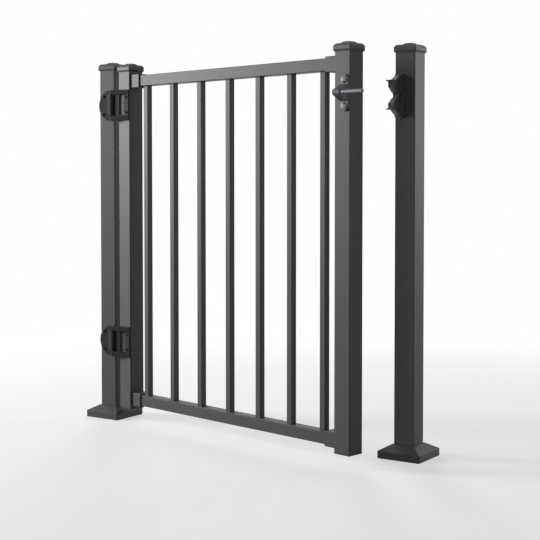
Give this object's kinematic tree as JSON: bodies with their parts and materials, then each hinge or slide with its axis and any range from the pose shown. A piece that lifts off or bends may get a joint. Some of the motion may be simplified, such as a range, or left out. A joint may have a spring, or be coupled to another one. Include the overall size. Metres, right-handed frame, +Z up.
{
  "type": "aluminium deck gate with two posts",
  "caption": "Powder-coated aluminium picket gate leaf hung ajar on barrel hinges between two square surface-mounted posts with caps and base skirts, with a striker bar and claw catch.",
  "frame": {"origin": "on the deck, at the middle of the underside of the hinge post's base plate", "axes": "+X along the posts' line from the hinge post to the latch post, -Y towards the side that the leaf opens to, +Z up"},
  "size_m": [1.0044, 0.2864, 0.958],
  "materials": {
    "powder_coat": "satin",
    "hardware_coat": "satin",
    "pin_steel": "satin",
    "plug_plastic": "matte"
  },
  "bodies": {
    "posts": {"hinge_post": "powder_coat", "hinge_post_base_plate": "powder_coat", "hinge_post_skirt": "powder_coat", "hinge_post_cap": "powder_coat", "latch_post": "powder_coat", "latch_post_base_plate": "powder_coat", "latch_post_skirt": "powder_coat", "latch_post_cap": "powder_coat", "upper_hinge_post_leaf": "hardware_coat", "upper_hinge_pin": "pin_steel", "lower_hinge_post_leaf": "hardware_coat", "lower_hinge_pin": "pin_steel", "latch_catch": "hardware_coat"},
    "leaf": {"hinge_stile": "powder_coat", "hinge_stile_cap": "powder_coat", "hinge_stile_foot": "plug_plastic", "latch_stile": "powder_coat", "latch_stile_cap": "powder_coat", "latch_stile_foot": "plug_plastic", "top_rail": "powder_coat", "bottom_rail": "powder_coat", "top_rail_hinge_socket": "powder_coat", "top_rail_latch_socket": "powder_coat", "bottom_rail_hinge_socket": "powder_coat", "bottom_rail_latch_socket": "powder_coat", "baluster_1": "powder_coat", "baluster_2": "powder_coat", "baluster_3": "powder_coat", "baluster_4": "powder_coat", "baluster_5": "powder_coat", "baluster_6": "powder_coat", "baluster_7": "powder_coat", "upper_hinge_gate_leaf": "hardware_coat", "lower_hinge_gate_leaf": "hardware_coat", "striker_bracket": "hardware_coat", "striker_bar": "pin_steel"}
  },
  "joints": [
    {"name": "gate_swing", "type": "hinge", "parent": "posts", "child": "leaf", "pos_m": [0.0279, -0.0364, 0.526], "axis": [0, 0, -1], "range_deg": [-11.4, 93.6]}
  ]
}
